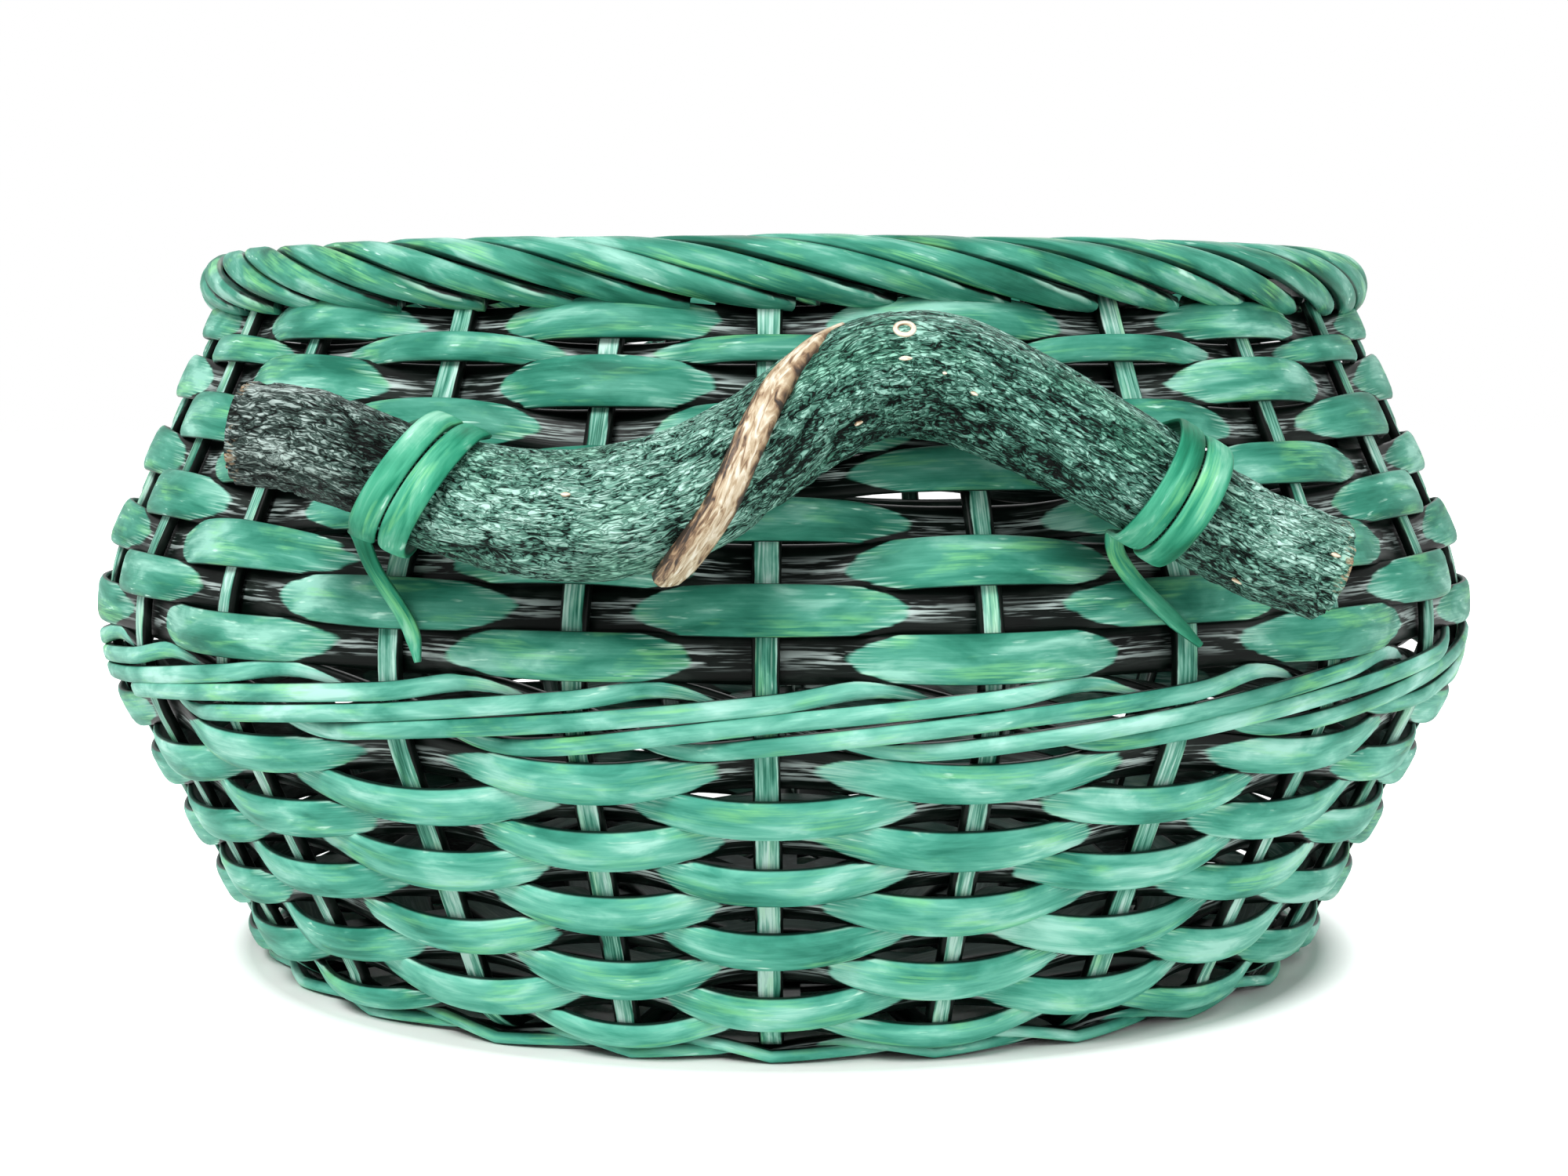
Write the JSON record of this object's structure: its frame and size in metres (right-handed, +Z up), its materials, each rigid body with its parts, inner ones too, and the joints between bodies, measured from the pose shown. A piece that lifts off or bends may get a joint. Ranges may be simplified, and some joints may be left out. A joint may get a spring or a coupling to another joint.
{
  "type": "rattan basket",
  "caption": "Round open basket woven of painted split cane, bellied, with a rolled rim and crooked branch handles lashed on with cane.",
  "frame": {"origin": "middle of the foot, on the surface that the basket stands on", "axes": "+Z up through the mouth, -Y towards the side with the handle seen in the picture, +X along that handle to its right"},
  "size_m": [0.3422, 0.3836, 0.1732],
  "materials": {
    "painted_cane": "satin green paint over split rattan, worn dark in the hollows",
    "lashing_cane": "satin green paint over flat cane",
    "branch": "matte bark rubbed with paint"
  },
  "bodies": {
    "basket": {"foot_row": "painted_cane", "base_split_sticks": "painted_cane", "base_plain_sticks": "painted_cane", "base_cane_1": "painted_cane", "base_cane_2": "painted_cane", "base_cane_3": "painted_cane", "base_cane_4": "painted_cane", "base_cane_5": "painted_cane", "base_cane_6": "painted_cane", "base_cane_7": "painted_cane", "base_cane_8": "painted_cane", "front_stakes": "painted_cane", "right_stakes": "painted_cane", "back_stakes": "painted_cane", "left_stakes": "painted_cane", "foot_weave_row_01": "painted_cane", "lower_row_01": "painted_cane", "lower_row_02": "painted_cane", "lower_row_03": "painted_cane", "lower_row_04": "painted_cane", "lower_row_05": "painted_cane", "lower_row_06": "painted_cane", "lower_row_07": "painted_cane", "lower_row_08": "painted_cane", "upper_row_01": "painted_cane", "upper_row_02": "painted_cane", "upper_row_03": "painted_cane", "upper_row_04": "painted_cane", "upper_row_05": "painted_cane", "upper_row_06": "painted_cane", "upper_row_07": "painted_cane", "neck_row_01": "painted_cane", "neck_row_02": "painted_cane", "waist_cane_1": "painted_cane", "waist_cane_2": "painted_cane", "waist_cane_3": "painted_cane", "waist_cane_4": "painted_cane", "rim_hoop": "painted_cane", "front_rim_canes": "painted_cane", "right_rim_canes": "painted_cane", "back_rim_canes": "painted_cane", "left_rim_canes": "painted_cane", "front_handle_left_lashing": "lashing_cane", "front_handle_right_lashing": "lashing_cane", "rear_handle_left_lashing": "lashing_cane", "rear_handle_right_lashing": "lashing_cane"},
    "front_handle": {"front_handle_branch": "branch"},
    "rear_handle": {"rear_handle_branch": "branch"}
  },
  "joints": [
    {"name": "front_handle_rock", "type": "hinge", "parent": "basket", "child": "front_handle", "pos_m": [0, -0.171, 0.123], "axis": [1, 0, 0], "range_deg": [0, 28]},
    {"name": "rear_handle_rock", "type": "hinge", "parent": "basket", "child": "rear_handle", "pos_m": [0, 0.171, 0.123], "axis": [-1, 0, 0], "range_deg": [0, 28]}
  ]
}
